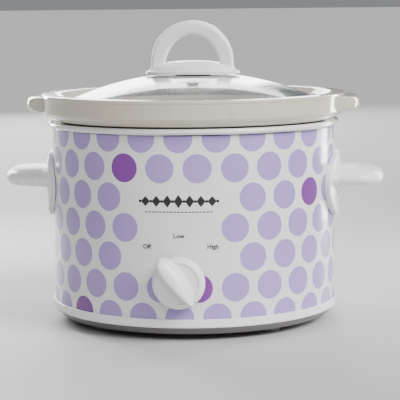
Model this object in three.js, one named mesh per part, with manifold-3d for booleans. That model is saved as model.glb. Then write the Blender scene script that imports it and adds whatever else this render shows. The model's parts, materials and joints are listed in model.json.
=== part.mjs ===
// A round slow cooker of about 2.4 litres: a printed steel housing with a heated liner, a loose
// stoneware crock, a glass lid and one three-position control knob. Millimetres, +Z up, front at -Y.
// The feet stand on z = 0. The origin is the middle of the whole object's footprint, so the
// housing's axis lies AXIS_Y behind it, because the knob stands out in front.
import * as THREE from "three";
import { mergeVertices } from "three/addons/utils/BufferGeometryUtils.js";
import Module from "manifold-3d";

const wasm = await Module();
wasm.setup();

// ---- driving dimensions -------------------------------------------------------------------
const ROUND = 44; // sides of a large round part
const FINE = 16; // sides of a small round part
const GAP = 0.3; // clearance between pieces that touch

const SHELL_R = 108;
const SHELL_T = 0.8;
const SHELL_BOTTOM = 14.3;
const SHELL_TOP = 147.9;

const BASE_R = 109.6;
const BASE_BOTTOM = 5; // underside of the pan, above the table
const BASE_TOP = 16.7; // visible edge of the band against the shell
const FOOT_RADIUS = 9;
const FOOT_CIRCLE = 86;

const LINER_T = 0.8;
const LINER_BOTTOM = 47;
const LINER_TOP_R = 100.5; // inside
const LINER_LOW_R = 88.5; // inside, above the corner

const CROCK_BOTTOM = LINER_BOTTOM + LINER_T + GAP;
const RIM_TOP = 173;
const RIM_R = 116.3;
const LUG_R = 128.5;
const LID_R = 97.5;
const LID_T = 4;
const LID_SEAT = 162.2;
const LID_CROWN = 186.2; // flat seat of the lid's handle, on top of the glass
const HANDLE_FOOT = 187;

const KNOB_Z = 43.8;
const KNOB_R = 19;
const KNOB_BACK = 109.5; // distance of the knob's back from the housing's axis
const KNOB_REST_DEG = 37; // the pointer leans this far to the left of upright, at Off
const KNOB_FRONT = 128;

const PLATE_Z = 103.4; // side handles' plates
const GRIP_Z = 108.8;
const GRIP_REACH = 145.8;
const HANDLE_SCREW_Y = 16;

const GLAND_Z = 32;
const AXIS_Y = (KNOB_FRONT - RIM_R) / 2;

// ---- materials ----------------------------------------------------------------------------
const finish = (color, roughness, metalness) =>
  new THREE.MeshStandardMaterial({ color, roughness, metalness });
const printedSteel = finish(0xd9d2e2, 0.25, 0.1);
const whiteTrim = finish(0xe4e0dd, 0.3, 0.1);
const whitePlastic = finish(0xeae8ea, 0.28, 0);
const greyPlastic = finish(0x716c6e, 0.4, 0);
const stoneware = finish(0xd8d2c4, 0.15, 0);
const glass = finish(0xdfe7e6, 0.03, 0);
const steel = finish(0x9c9c9c, 0.35, 0.9);
const aluminisedSteel = finish(0xa9a9a6, 0.45, 0.85);
const rubber = finish(0x8d8a8b, 0.8, 0);
const silicone = finish(0x5d5957, 0.6, 0);
const mica = finish(0xb59d6a, 0.6, 0);
const glassWool = finish(0xe6dfc9, 0.95, 0);
const bakelite = finish(0x2b2724, 0.45, 0);
const ceramic = finish(0xefeae0, 0.5, 0);
const brass = finish(0xb99a4e, 0.35, 0.9);
const redSleeve = finish(0xa5382c, 0.6, 0);
const blackSleeve = finish(0x232323, 0.6, 0);
const greenSleeve = finish(0x3d7a45, 0.6, 0);

// ---- solids -------------------------------------------------------------------------------
// A closed geometry as a manifold-3d solid, with faces of no area dropped and facing out.
function solid(geometry) {
  const bare = new THREE.BufferGeometry();
  bare.setAttribute("position", geometry.getAttribute("position"));
  bare.setIndex(geometry.index);
  const merged = mergeVertices(bare, 1e-4);
  const index = merged.index.array;
  const faces = [];
  for (let i = 0; i < index.length; i += 3) {
    const [a, b, c] = index.slice(i, i + 3);
    if (a !== b && b !== c && a !== c) faces.push(a, b, c);
  }
  const make = (triangles) =>
    new wasm.Manifold(
      new wasm.Mesh({
        numProp: 3,
        vertProperties: new Float32Array(merged.attributes.position.array),
        triVerts: new Uint32Array(triangles),
      }),
    );
  const made = make(faces);
  return made.volume() > 0 ? made : make(faces.reverse());
}

function mesh(name, shape, material) {
  const found = shape.getMesh();
  const geometry = new THREE.BufferGeometry();
  geometry.setAttribute("position", new THREE.BufferAttribute(found.vertProperties, 3));
  geometry.setIndex(new THREE.BufferAttribute(found.triVerts, 1));
  geometry.computeVertexNormals();
  const made = new THREE.Mesh(geometry, material);
  made.name = name;
  return made;
}

// Turns a closed profile of [radius, height] points about the Z axis.
function turned(profile, sides = ROUND) {
  const points = profile.map(([r, z]) => new THREE.Vector2(r, z));
  const first = points[0];
  const last = points[points.length - 1];
  if (first.x !== 0 || last.x !== 0) points.push(first.clone());
  return solid(new THREE.LatheGeometry(points, sides).rotateX(Math.PI / 2));
}

// Points of an arc in a profile, from one angle to another, in degrees.
function arc(r, z, radius, from, to, steps = 4) {
  return Array.from({ length: steps + 1 }, (_, i) => {
    const a = THREE.MathUtils.degToRad(from + ((to - from) * i) / steps);
    return [r + radius * Math.cos(a), z + radius * Math.sin(a)];
  });
}

// An outline's points with the repeated ones left out, so that every side has a length.
function distinct(points) {
  return points.filter((p, i) => p.distanceTo(points[(i + 1) % points.length]) > 1e-3);
}

// A shape pushed up along +Z, with its long edges rounded inside its outline.
function raised(shape, height, rounding = 0, curveSegments = 10) {
  const outline = new THREE.Shape(distinct(shape.getPoints(curveSegments)));
  outline.holes = shape
    .getPointsHoles(curveSegments)
    .map((points) => new THREE.Path(distinct(points)));
  const options = {
    depth: height - 2 * rounding,
    bevelEnabled: rounding > 0,
    bevelThickness: rounding,
    bevelSize: rounding,
    bevelOffset: -rounding,
    bevelSegments: 2,
  };
  return new THREE.ExtrudeGeometry(outline, options).translate(0, 0, rounding);
}

// The same, pushed from y = 0 towards the front. The shape's own up is +Z.
const raisedForward = (...args) => raised(...args).rotateX(Math.PI / 2);

// The same, pushed from x = 0 towards +X. The shape's x runs along +Y and its up is +Z.
const raisedSideways = (...args) =>
  raised(...args).applyMatrix4(
    new THREE.Matrix4().makeBasis(
      new THREE.Vector3(0, 1, 0),
      new THREE.Vector3(0, 0, 1),
      new THREE.Vector3(1, 0, 0),
    ),
  );

function ellipse(halfWidth, halfHeight) {
  const shape = new THREE.Shape();
  shape.absellipse(0, 0, halfWidth, halfHeight, 0, 2 * Math.PI);
  return shape;
}

function box(sx, sy, sz, x = 0, y = 0, z = 0) {
  return solid(new THREE.BoxGeometry(sx, sy, sz).translate(x, y, z));
}

// A rod between two points.
function rod(radius, from, to, sides = FINE) {
  const a = new THREE.Vector3(...from);
  const b = new THREE.Vector3(...to);
  const way = b.clone().sub(a);
  const turn = new THREE.Quaternion().setFromUnitVectors(
    new THREE.Vector3(0, 1, 0),
    way.clone().normalize(),
  );
  const geometry = new THREE.CylinderGeometry(radius, radius, way.length(), sides);
  geometry.applyQuaternion(turn);
  geometry.translate(...a.add(b).multiplyScalar(0.5).toArray());
  return solid(geometry);
}

const alongY = (radius, y0, y1, z = 0, x = 0, sides = FINE) =>
  rod(radius, [x, y0, z], [x, y1, z], sides);

const tubeAlongY = (outer, inner, y0, y1, z = 0, x = 0) =>
  alongY(outer, y0, y1, z, x).subtract(alongY(inner, y0 - 1, y1 + 1, z, x));

// ---- housing ------------------------------------------------------------------------------
const SCREW_HOLE = 2.4;
const screwPlaces = [-HANDLE_SCREW_Y, HANDLE_SCREW_Y];
const BUSH_HOLE = 5.1;
const GLAND_HOLE = 6.4;

function outerShell() {
  const inside = SHELL_R - SHELL_T;
  let shell = turned([
    [inside, SHELL_BOTTOM],
    [SHELL_R, SHELL_BOTTOM],
    [SHELL_R, SHELL_TOP],
    [inside, SHELL_TOP],
  ]);
  shell = shell.subtract(alongY(BUSH_HOLE, -120, -90, KNOB_Z));
  shell = shell.subtract(alongY(GLAND_HOLE, 90, 120, GLAND_Z));
  for (const y of screwPlaces) {
    shell = shell.subtract(rod(SCREW_HOLE, [-120, y, PLATE_Z], [120, y, PLATE_Z]));
  }
  return shell;
}

// The bead that caps the shell and holds the liner's flange down.
function rimRing() {
  const beadR = 109.4;
  const bead = 2.35;
  const middle = SHELL_TOP + GAP + bead;
  return turned([
    [107, middle - bead],
    ...arc(beadR, middle, bead, -90, 90, 4),
    [103.6, 152.4],
    [102.2, 151.2],
    [102.2, 150.2],
    [107, 150.2],
  ]);
}

function innerLiner() {
  const t = LINER_T;
  const corner = 15;
  const flange = 149.8;
  const cornerZ = LINER_BOTTOM + t + corner;
  const lowCentre = LINER_LOW_R - corner;
  return turned([
    [0, LINER_BOTTOM],
    [lowCentre, LINER_BOTTOM],
    ...arc(lowCentre, cornerZ, corner + t, -66, 0, 3),
    [LINER_TOP_R + t, flange - t - 1],
    [LINER_TOP_R + t + 1, flange - t],
    [106.4, flange - t],
    [106.4, flange],
    [LINER_TOP_R + t, flange],
    [LINER_TOP_R, flange - t],
    ...arc(lowCentre, cornerZ, corner, 0, -90, 4),
    [0, LINER_BOTTOM + t],
  ]);
}

// Outside radius of the liner's wall at a height.
const linerOutside = (z) =>
  LINER_T +
  THREE.MathUtils.mapLinear(z, LINER_BOTTOM + 16, 149, LINER_LOW_R, LINER_TOP_R);

// A sleeve that follows the liner's slope, a given distance off it.
const sleeve = (off, thickness, z0, z1) =>
  turned([
    [linerOutside(z0) + off, z0],
    [linerOutside(z0) + off + thickness, z0],
    [linerOutside(z1) + off + thickness, z1],
    [linerOutside(z1) + off, z1],
  ]);

const HEATER_Z = [66, 98];
const STRAP_Z = [76, 88];
const HEATER_T = 2.2;
const BLANKET_T = 2.6;
const heaterMouth = (width) => box(width, 60, 200, 0, 110, 80);

const heaterBand = () => sleeve(GAP, HEATER_T, ...HEATER_Z).subtract(heaterMouth(22));

function heaterStrap() {
  const off = 2 * GAP + HEATER_T;
  const [z0, z1] = STRAP_Z;
  let strap = sleeve(off, 0.7, z0, z1).subtract(heaterMouth(14));
  const middle = (z0 + z1) / 2;
  const start = linerOutside(middle) + off;
  for (const side of [-1, 1]) {
    const ear = box(1.2, 6.4, z1 - z0, side * 7.4, start + 2.6, middle);
    strap = strap.add(ear);
  }
  return strap.subtract(rod(1.7, [-15, start + 3, middle], [15, start + 3, middle]));
}

function strapBolt() {
  const middle = (STRAP_Z[0] + STRAP_Z[1]) / 2;
  const y = linerOutside(middle) + 2 * GAP + HEATER_T + 3;
  const shank = rod(1.4, [-10.6, y, middle], [10.6, y, middle], 16);
  return shank.add(rod(2.4, [8.4, y, middle], [10.6, y, middle], 6));
}

function strapNut() {
  const middle = (STRAP_Z[0] + STRAP_Z[1]) / 2;
  const y = linerOutside(middle) + 2 * GAP + HEATER_T + 3;
  const nut = rod(2.5, [-10.2, y, middle], [-8.4, y, middle], 6);
  return nut.subtract(rod(1.6, [-12, y, middle], [-6, y, middle], 16));
}

const insulationBlanket = () =>
  sleeve(4.2, BLANKET_T, 63, 92).subtract(heaterMouth(28));

function heatShield() {
  const z = 20.3;
  return turned([
    [7.4, z],
    [100, z],
    [106.4, z],
    [106.4, z + 2.4],
    [105.6, z + 2.4],
    [105.6, z + 0.8],
    [7.4, z + 0.8],
  ]);
}

// ---- base ---------------------------------------------------------------------------------
const STEM_HOLE = 5.2;
const PAN_TOP = 10.1;
const BAND_INSIDE = 104.4;
const footPlaces = [
  ["front_left", 225],
  ["front_right", 315],
  ["rear_right", 45],
  ["rear_left", 135],
];

// The white band round the foot of the shell. The shell stands in its groove.
function baseBand() {
  const lip = SHELL_R + GAP;
  const inner = SHELL_R - SHELL_T - GAP;
  const groove = SHELL_BOTTOM - GAP;
  return turned([
    [BAND_INSIDE, PAN_TOP + GAP],
    [BASE_R - 0.7, PAN_TOP + GAP],
    [BASE_R, PAN_TOP + 1],
    [BASE_R, BASE_TOP],
    [lip, BASE_TOP],
    [lip, groove],
    [inner, groove],
    [inner, 20],
    [BAND_INSIDE, 20],
  ]);
}

// The grey pan that closes the cooker underneath, with a raised middle, foot holes and vents.
function basePan() {
  const floorTop = BASE_BOTTOM + 3;
  const edge = BASE_R - 1.4;
  let pan = turned([
    [3.4, 11],
    [13, 11],
    [15.5, BASE_BOTTOM],
    [103.5, BASE_BOTTOM],
    [edge, PAN_TOP - 0.7],
    [edge, PAN_TOP],
    [103.9, PAN_TOP],
    [101.6, floorTop],
    [18.5, floorTop],
    [16, 14],
    [3.4, 14],
  ]);
  for (const [, angle] of footPlaces) {
    const a = THREE.MathUtils.degToRad(angle);
    const [x, y] = [FOOT_CIRCLE * Math.cos(a), FOOT_CIRCLE * Math.sin(a)];
    pan = pan.subtract(rod(STEM_HOLE, [x, y, 0], [x, y, 12]));
  }
  const ventCount = 8;
  for (let i = 0; i < ventCount; i++) {
    const slot = new THREE.Shape();
    slot.absarc(36, 0, 2, Math.PI / 2, 1.5 * Math.PI);
    slot.absarc(62, 0, 2, -Math.PI / 2, Math.PI / 2);
    const cutter = raised(slot, 8, 0, 2).rotateZ((2 * Math.PI * (i + 0.5)) / ventCount);
    pan = pan.subtract(solid(cutter.translate(0, 0, 2)));
  }
  return pan;
}

// A pad with a stem and a bulb that snaps through the pan.
const foot = () =>
  turned(
    [
      [0, 0],
      [FOOT_RADIUS - 1.2, 0],
      [FOOT_RADIUS - 0.3, 0.9],
      [FOOT_RADIUS + 0.6, BASE_BOTTOM - GAP],
      [STEM_HOLE - GAP, BASE_BOTTOM - GAP],
      [STEM_HOLE - GAP, 8.3],
      [6.4, 8.6],
      [4.6, 11.6],
      [0, 11.6],
    ],
    FINE,
  );

const linerSpacer = () =>
  turned([[3.6, 14.3], [6.8, 14.3], [6.8, LINER_BOTTOM - GAP], [3.6, LINER_BOTTOM - GAP]], FINE);

const linerStud = () => rod(3, [0, 0, 6.6], [0, 0, LINER_BOTTOM - GAP]);

function baseNut() {
  const nut = rod(6.4, [0, 0, 7.6], [0, 0, 10.7], 6);
  return nut.subtract(rod(3.3, [0, 0, 0], [0, 0, 20]));
}

// ---- side handles -------------------------------------------------------------------------
// The one on +X. The other is the same moulding turned half round.
function sideHandle() {
  const plateBack = SHELL_R + GAP;
  const plateFace = SHELL_R + 5;
  const ring = turned([
    [plateBack, 70],
    [plateFace - 1, 70],
    [plateFace, 72],
    [plateFace, 134],
    [plateFace - 1, 136],
    [plateBack, 136],
  ]);
  const oval = solid(raisedSideways(ellipse(39.6, 25.1), 60, 0, 10).translate(80, 0, PLATE_Z));
  const root = 108.6;
  const thick = 16;
  const grip = new THREE.Shape();
  grip.moveTo(root - 16, -35);
  grip.absellipse(root, 0, GRIP_REACH - root, 35, -Math.PI / 2, Math.PI / 2);
  grip.lineTo(root - 16, 35);
  const wing = solid(raised(grip, thick, 5, 9).translate(0, 0, GRIP_Z - thick / 2));
  const pocket = new THREE.Shape();
  pocket.moveTo(root + 7, -26);
  pocket.absellipse(root + 8, 0, GRIP_REACH - root - 13, 26, -Math.PI / 2, Math.PI / 2);
  pocket.lineTo(root + 7, 26);
  const hollow = solid(raised(pocket, 10, 0, 6).translate(0, 0, GRIP_Z - thick / 2 - 1));
  const outside = rod(plateBack, [0, 0, 60], [0, 0, 150], ROUND).rotate([0, 0, 90]);
  let made = ring.intersect(oval).add(wing.subtract(hollow)).subtract(outside);
  for (const y of screwPlaces) {
    made = made.subtract(rod(1.9, [100, y, PLATE_Z], [111.6, y, PLATE_Z], 12));
  }
  return made;
}

// A pan-head screw from inside the shell, along +X.
function handleScrew() {
  const head = rod(3.8, [101, 0, 0], [103.2, 0, 0], 16);
  return head.add(rod(1.6, [103, 0, 0], [111.2, 0, 0], 12));
}

// A curved steel strip that spreads the two screws' pull inside the shell.
function handleClamp() {
  const strip = turned([[105.6, -7], [106.7, -7], [106.7, 7], [105.6, 7]]);
  let made = strip.intersect(box(60, 50, 12, 105, 0, 0));
  for (const y of screwPlaces) made = made.subtract(rod(2, [90, y, 0], [120, y, 0], 12));
  return made;
}

// ---- control: all of it about a line along Y at z = 0 -----------------------------------------
const SHAFT_R = 3;

function switchHousing() {
  const body = box(26, 15.6, 26, 0, -96.8, 0);
  const collar = alongY(9, -104, -105.4);
  const bush = alongY(4.7, -104, -111.8);
  const bore = alongY(SHAFT_R + GAP, -95, -113);
  return body.add(collar).add(bush).subtract(bore);
}

const switchWasher = () => tubeAlongY(8.5, 5.1, -105.7, -106.6);

function switchNut() {
  return alongY(7, -108.5, -111.2, 0, 0, 6).subtract(alongY(4.95, -107, -113));
}

// A round shaft, or the bore it fits, with a flat on one side of its front end.
function keyed(radius, flatAt, y0, y1, flatFrom) {
  const depth = flatFrom - y1 + 1;
  const flat = box(2 * radius, depth, radius, 0, flatFrom - depth / 2, flatAt + radius / 2);
  return alongY(radius, y0, y1).subtract(flat);
}

const switchShaft = () => keyed(SHAFT_R, 1.8, -96, -122, -112.6);

function controlKnob() {
  const deep = 9; // of the skirt
  const skirt = turned(
    [
      [0, 0],
      [KNOB_R - 0.4, 0],
      [KNOB_R, 0.6],
      [KNOB_R, 3.4],
      ...arc(KNOB_R - 2.6, deep - 3.4, 2.6, 0, 78, 3),
      [0, deep + 0.5],
    ],
    36,
  ).rotate([90, 0, 0]);
  const halfLength = 21;
  const halfWidth = 6.4;
  const bow = (halfLength ** 2 + halfWidth ** 2) / (2 * halfWidth); // radius of each side
  const half = Math.asin(halfLength / bow);
  const leaf = new THREE.Shape();
  leaf.absarc(halfWidth - bow, 0, bow, -half, half);
  leaf.absarc(bow - halfWidth, 0, bow, Math.PI - half, Math.PI + half);
  const blade = solid(raisedForward(leaf, KNOB_FRONT - KNOB_BACK - 4, 1.8, 6));
  const joined = skirt.translate([0, -KNOB_BACK, 0]).add(blade.translate([0, -KNOB_BACK - 4, 0]));
  const recess = alongY(9.4, -100, -113.2).subtract(alongY(5, -112, -114));
  const bore = keyed(SHAFT_R + GAP, 1.8 + GAP, -100, -122.4, -113);
  return joined.subtract(recess).subtract(bore);
}

const knobClip = () => tubeAlongY(6.4, 5.3, -112.3, -112.9);

const terminalTab = () => box(6.3, 0.8, 7.4, 0, 0, -13.4 - 3.7);

// ---- cord entry and wiring ----------------------------------------------------------------
function cordGland() {
  const body = alongY(GLAND_HOLE - GAP, 103, 109, GLAND_Z);
  const collar = solid(
    new THREE.CylinderGeometry(7.6, 9, 4.6, FINE).translate(0, 108.4 + 2.3, -GLAND_Z),
  );
  return body.add(collar.translate([0, 0, 2 * GLAND_Z])).subtract(alongY(3.6, 90, 120, GLAND_Z));
}

const glandLock = () => tubeAlongY(8.8, GLAND_HOLE - 0.05, 104.6, 106, GLAND_Z);

function terminalBlock() {
  let block = box(34, 13, 12, 0, 84, 27.6);
  for (const x of [-11, 0, 11]) {
    block = block.subtract(rod(2.6, [x, 84, 30], [x, 84, 36], 16));
    block = block.subtract(box(5, 20, 4, x, 84, 25.5));
  }
  return block;
}

const thermalFuse = () => rod(3.4, [-42, 30, 41.5], [-42, 4, 41.5], 20);

function fuseBracket() {
  const strap = tubeAlongY(4.8, 3.7, 12, 22, 41.5, -42);
  return strap.add(box(14, 10, 0.9, -42 + 10, 17, 45.6)).intersect(box(60, 60, 8, -40, 17, 42.4));
}

function lead(points) {
  const curve = new THREE.CatmullRomCurve3(points.map((p) => new THREE.Vector3(...p)));
  const section = new THREE.Shape();
  section.absarc(0, 0, 1.25, 0, 2 * Math.PI);
  const steps = 3 * points.length;
  return solid(
    new THREE.ExtrudeGeometry(section, { steps, curveSegments: 3, extrudePath: curve }),
  );
}

// A point at a distance from the housing's axis, at an angle from +X.
function around(r, degrees, z) {
  const a = THREE.MathUtils.degToRad(degrees);
  return [r * Math.cos(a), r * Math.sin(a), z];
}

// The last points of a lead that rises past the liner to the heater band's lower edge.
const riser = (degrees) => [
  around(86, degrees - 5, 42),
  around(91.7, degrees - 1, 56),
  around(91.3, degrees, 65.3),
];

const TAB_Z = 26.8;
const BLOCK_Y = 77.1;
const BLOCK_Z = 25.5;
const fromBlock = (x) => [[x, BLOCK_Y, BLOCK_Z], [x * 1.1, BLOCK_Y - 7, BLOCK_Z]];

const supplyPath = [
  ...fromBlock(-11),
  [-30, 20, BLOCK_Z],
  [-24, -40, BLOCK_Z],
  [-9, -82, TAB_Z],
  [-8, -90.4, TAB_Z],
];
const lowHeatPath = [
  [0, -94.4, TAB_Z],
  [0.6, -86, TAB_Z],
  [26, -72, 34],
  ...riser(-40),
];
const highHeatPath = [
  [8, -90.4, TAB_Z],
  [9.5, -83, TAB_Z],
  [52, -54, 27],
  ...riser(-15),
];
const neutralPath = [...fromBlock(11), [46, 58, 29], ...riser(35)];
const earthPath = [
  ...fromBlock(0),
  [9, 34, 27],
  [15, 10, 34],
  [14, 0.5, 38],
  [7.2, 0, 38],
];

// ---- crock --------------------------------------------------------------------------------
function stonewareCrock() {
  const floor = CROCK_BOTTOM + 9;
  const corner = 17;
  const innerCorner = 13;
  const lowR = 86;
  const bowl = turned([
    [0, CROCK_BOTTOM + 2],
    [58, CROCK_BOTTOM + 2],
    [60, CROCK_BOTTOM],
    [66, CROCK_BOTTOM],
    ...arc(lowR - corner, CROCK_BOTTOM + corner + 1, corner, -75, 0, 3),
    [98, 150.5],
    [101.4, 154],
    [108, 154.2],
    ...arc(108, 160.2, 6, -70, -8, 2),
    [115.6, 165],
    [RIM_R, 170],
    ...arc(RIM_R - 3, 170, 3, 25, 90, 2),
    [105.5, RIM_TOP],
    [102.4, 171.4],
    [99.4, 166],
    [99, LID_SEAT],
    [94.6, LID_SEAT],
    [92.6, 159.6],
    [90.6, 145],
    ...arc(79.4 - innerCorner, floor + innerCorner, innerCorner, 0, -90, 3),
    [0, floor],
  ]);
  const lug = new THREE.Shape();
  const tip = THREE.MathUtils.degToRad(10);
  lug.moveTo(104, -36);
  lug.quadraticCurveTo(122, -35, LUG_R * Math.cos(tip), -LUG_R * Math.sin(tip));
  lug.absarc(0, 0, LUG_R, -tip, tip);
  lug.quadraticCurveTo(122, 35, 104, 36);
  const right = solid(raised(lug, 11.4, 3.6, 5).translate(0, 0, 159.4));
  return bowl.add(right).add(right.rotate([0, 0, 180]));
}

// ---- lid ----------------------------------------------------------------------------------
// Height of the top of the glass: a flat seat in the middle, then a dome.
function glassTop(r) {
  const dome = 235;
  const height = 188.2 - dome + Math.sqrt(dome ** 2 - r ** 2);
  return Math.min(LID_CROWN, height);
}

function glassLid() {
  const radii = [LID_R - 1.4, 85, 72, 58, 44, 30, 3.8];
  const top = radii.map((r) => [r, glassTop(r)]);
  const under = radii.map((r) => [r, glassTop(r) - LID_T]).reverse();
  under[under.length - 1] = [LID_R - 1.4, LID_SEAT + GAP];
  const edge = [
    [LID_R, LID_SEAT + GAP + 1.3],
    [LID_R, glassTop(LID_R) - 1.2],
  ];
  return turned([...top, ...under, ...edge]);
}

// The oval foot, its crown and the arch above it.
function lidHandle() {
  const foot = solid(raised(ellipse(36.4, 19), 2.4, 0.9, 10).translate(0, 0, HANDLE_FOOT));
  const crown = solid(new THREE.SphereGeometry(1, 20, 10).rotateX(Math.PI / 2).scale(40, 17.6, 10.4));
  const trimmed = crown
    .translate([0, 0, HANDLE_FOOT - 0.4])
    .intersect(box(66, 60, 40, 0, 0, HANDLE_FOOT + 20.6));
  const arch = new THREE.Shape();
  const springing = 10; // height at which the straight legs become the arch
  arch.moveTo(32.2, 1);
  arch.lineTo(31.4, springing);
  arch.absellipse(0, springing, 31.4, 30.4, 0, Math.PI);
  arch.lineTo(-32.2, 1);
  const hole = new THREE.Path();
  const above = 0.14; // angle at which the hole starts, clear of the foot
  hole.absellipse(0, 2.9, 21.7, 26.9, above, Math.PI - above);
  arch.holes.push(hole);
  const deep = 13;
  const band = solid(raisedForward(arch, deep, 2.6, 8).translate(0, deep / 2, HANDLE_FOOT));
  const pad = rod(14.6, [0, 0, HANDLE_FOOT - 1], [0, 0, HANDLE_FOOT + 0.9]);
  const bore = rod(2.8, [0, 0, HANDLE_FOOT - 1], [0, 0, HANDLE_FOOT + 8]);
  return foot.add(trimmed).add(band).subtract(pad).subtract(bore);
}

function lidGasket() {
  const [low, high] = [LID_CROWN + GAP, HANDLE_FOOT + 0.6];
  return turned([[3.4, low], [14, low], [14, high], [3.4, high]], FINE);
}

function lidWasher() {
  const top = LID_CROWN - LID_T - GAP;
  const bottom = top - 1.2;
  return turned([[2.9, bottom], [9, bottom], [10.5, top - 0.4], [10.5, top], [2.9, top]], FINE);
}

function lidScrew() {
  const seat = LID_CROWN - LID_T - GAP - 1.2 - GAP;
  const end = HANDLE_FOOT + 7;
  const head = turned(
    [
      [0, seat - 2.8],
      [3.4, seat - 2.6],
      [4.9, seat - 1.2],
      [4.9, seat],
      [2.5, seat],
      [2.5, end],
      [0, end],
    ],
    FINE,
  );
  return head.subtract(box(7, 1.2, 1.4, 0, 0, seat - 2.6));
}

// ---- assembly -----------------------------------------------------------------------------
function housing() {
  const group = new THREE.Group();
  group.add(
    mesh("outer_shell", outerShell(), printedSteel),
    mesh("rim_ring", rimRing(), whiteTrim),
    mesh("inner_liner", innerLiner(), aluminisedSteel),
    mesh("heater_band", heaterBand(), mica),
    mesh("heater_strap", heaterStrap(), steel),
    mesh("strap_bolt", strapBolt(), steel),
    mesh("strap_nut", strapNut(), steel),
    mesh("insulation_blanket", insulationBlanket(), glassWool),
    mesh("heat_shield", heatShield(), aluminisedSteel),
    mesh("base_band", baseBand(), whitePlastic),
    mesh("base_pan", basePan(), greyPlastic),
    mesh("liner_spacer", linerSpacer(), steel),
    mesh("liner_stud", linerStud(), steel),
    mesh("base_nut", baseNut(), steel),
  );
  for (const [place, angle] of footPlaces) {
    const a = THREE.MathUtils.degToRad(angle);
    const pad = mesh("foot_" + place, foot(), rubber);
    pad.position.set(FOOT_CIRCLE * Math.cos(a), FOOT_CIRCLE * Math.sin(a), 0);
    group.add(pad);
  }
  return group;
}

function handles() {
  const group = new THREE.Group();
  for (const [side, turn] of [["right", 0], ["left", Math.PI]]) {
    const one = new THREE.Group();
    one.rotation.z = turn;
    one.add(mesh("side_handle_" + side, sideHandle(), whitePlastic));
    const clamp = mesh("handle_clamp_" + side, handleClamp(), steel);
    clamp.position.z = PLATE_Z;
    one.add(clamp);
    screwPlaces.forEach((y, i) => {
      const screw = mesh(`handle_screw_${side}_${i + 1}`, handleScrew(), steel);
      screw.position.set(0, y, PLATE_Z);
      one.add(screw);
    });
    group.add(one);
  }
  return group;
}

function control() {
  const group = new THREE.Group();
  group.position.z = KNOB_Z;
  group.add(
    mesh("switch_housing", switchHousing(), bakelite),
    mesh("switch_washer", switchWasher(), steel),
    mesh("switch_nut", switchNut(), steel),
  );
  const tabPlaces = [[-8, -91.4], [0, -95.4], [8, -91.4]];
  tabPlaces.forEach(([x, y], i) => {
    const tab = mesh(`switch_terminal_${i + 1}`, terminalTab(), brass);
    tab.position.set(x, y, 0);
    group.add(tab);
  });
  const turning = new THREE.Group();
  turning.rotation.y = THREE.MathUtils.degToRad(-KNOB_REST_DEG);
  turning.add(
    mesh("control_knob", controlKnob(), whitePlastic),
    mesh("knob_clip", knobClip(), steel),
    mesh("switch_shaft", switchShaft(), steel),
  );
  group.add(turning);
  return group;
}

function wiring() {
  const group = new THREE.Group();
  group.add(
    mesh("cord_gland", cordGland(), blackSleeve),
    mesh("gland_lock", glandLock(), blackSleeve),
    mesh("terminal_block", terminalBlock(), ceramic),
    mesh("thermal_fuse", thermalFuse(), ceramic),
    mesh("fuse_bracket", fuseBracket(), steel),
  );
  group.add(
    mesh("supply_lead", lead(supplyPath), redSleeve),
    mesh("low_heat_lead", lead(lowHeatPath), blackSleeve),
    mesh("high_heat_lead", lead(highHeatPath), blackSleeve),
    mesh("neutral_lead", lead(neutralPath), redSleeve),
    mesh("earth_lead", lead(earthPath), greenSleeve),
  );
  return group;
}

function lid() {
  const group = new THREE.Group();
  group.add(
    mesh("glass_lid", glassLid(), glass),
    mesh("lid_handle", lidHandle(), whitePlastic),
    mesh("lid_gasket", lidGasket(), silicone),
    mesh("lid_washer", lidWasher(), steel),
    mesh("lid_screw", lidScrew(), steel),
  );
  return group;
}

const cooker = new THREE.Group();
cooker.position.y = AXIS_Y;
cooker.add(housing(), handles(), control(), wiring(), lid());
cooker.add(mesh("stoneware_crock", stonewareCrock(), stoneware));

export default cooker;
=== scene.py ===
"""The looks of the slow cooker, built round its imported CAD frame. Metres, +Z up, front at -Y."""

import json
import math

import bmesh
import bpy
from mathutils import Matrix, Vector


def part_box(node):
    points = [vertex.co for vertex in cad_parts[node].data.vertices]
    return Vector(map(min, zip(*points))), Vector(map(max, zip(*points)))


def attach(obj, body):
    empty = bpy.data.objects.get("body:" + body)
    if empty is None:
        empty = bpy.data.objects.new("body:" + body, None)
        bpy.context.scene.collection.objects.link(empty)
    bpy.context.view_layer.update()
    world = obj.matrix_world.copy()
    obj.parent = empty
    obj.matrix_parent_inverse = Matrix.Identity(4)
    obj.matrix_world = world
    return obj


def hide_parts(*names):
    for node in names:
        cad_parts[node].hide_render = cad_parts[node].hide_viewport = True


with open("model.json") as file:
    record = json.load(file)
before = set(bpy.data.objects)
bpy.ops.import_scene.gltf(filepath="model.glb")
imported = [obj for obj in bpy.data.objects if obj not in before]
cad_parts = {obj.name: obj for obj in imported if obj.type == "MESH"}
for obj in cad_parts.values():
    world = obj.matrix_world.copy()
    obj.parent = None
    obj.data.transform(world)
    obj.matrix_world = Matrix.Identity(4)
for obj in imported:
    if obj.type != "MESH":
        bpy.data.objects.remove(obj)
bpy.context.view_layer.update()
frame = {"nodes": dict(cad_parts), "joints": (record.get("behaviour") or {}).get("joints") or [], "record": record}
MM = 0.001

# ---- sizes, all taken from the frame ---------------------------------------------------------
SHELL_LOW, SHELL_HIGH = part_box("outer_shell")
AXIS = Vector(((SHELL_LOW.x + SHELL_HIGH.x) / 2, (SHELL_LOW.y + SHELL_HIGH.y) / 2, 0))
SHELL_R = (SHELL_HIGH.x - SHELL_LOW.x) / 2 / MM
SHEET = 0.8  # thickness of the shell's and the liner's metal
KNOB_JOINT = next(j for j in frame["joints"] if j["child"] == "knob")
KNOB_CENTRE = Vector(KNOB_JOINT["pos_m"])


def reach(node):
    """How far a node reaches from the housing's axis along X, in mm."""
    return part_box(node)[1].x / MM


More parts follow.
